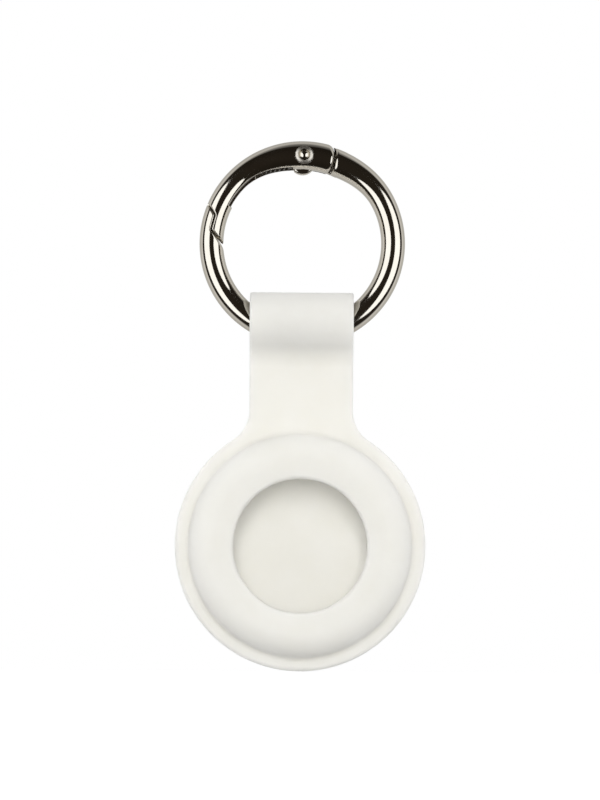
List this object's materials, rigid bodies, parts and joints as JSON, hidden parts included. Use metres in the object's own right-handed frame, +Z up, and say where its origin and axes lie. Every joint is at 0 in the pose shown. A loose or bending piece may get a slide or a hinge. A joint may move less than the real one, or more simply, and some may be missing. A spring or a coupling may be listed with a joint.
{
  "type": "tracker tag holder",
  "caption": "Soft silicone pocket with a round window for a coin-shaped tracker tag, on a strap whose moulded eye hangs on a spring gate key ring.",
  "frame": {"origin": "centre of the gate ring, midway through its thickness", "axes": "+Z up along the strap with the ring on top, -Y out of the window at the front, +X to the right seen from the front"},
  "size_m": [0.0396, 0.0112, 0.084],
  "materials": {
    "white_silicone": "matte warm white silicone moulding",
    "polished_nickel": "polished nickel plating on a die casting",
    "spring_steel": "bright drawn and turned steel"
  },
  "bodies": {
    "ring": {"ring_body": "polished_nickel"},
    "gate": {"ring_gate": "polished_nickel", "pivot_rivet": "polished_nickel", "gate_spring": "spring_steel"},
    "plunger": {"spring_plunger": "spring_steel"},
    "holder": {"silicone_holder": "white_silicone"}
  },
  "joints": [
    {"name": "holder_swing", "type": "hinge", "parent": "ring", "child": "holder", "pos_m": [0, 0, -0.01287], "axis": [1, 0, 0], "range_deg": [-150, 150]},
    {"name": "gate_pivot", "type": "hinge", "parent": "ring", "child": "gate", "pos_m": [0.00022, 0, 0.01395], "axis": [0, -1, 0], "range_deg": [0, 30], "stiffness_Nm_per_rad": 0.02, "springref_deg": -57.3},
    {"name": "plunger_slide", "type": "slide", "parent": "gate", "child": "plunger", "axis": [-0.9874, 0, -0.1582], "range_m": [0, 0.001], "deforming": ["gate_spring"]}
  ],
  "couplings": [
    {"joint": "plunger_slide", "follows": "gate_pivot", "m_per_rad": 0.0019098}
  ]
}
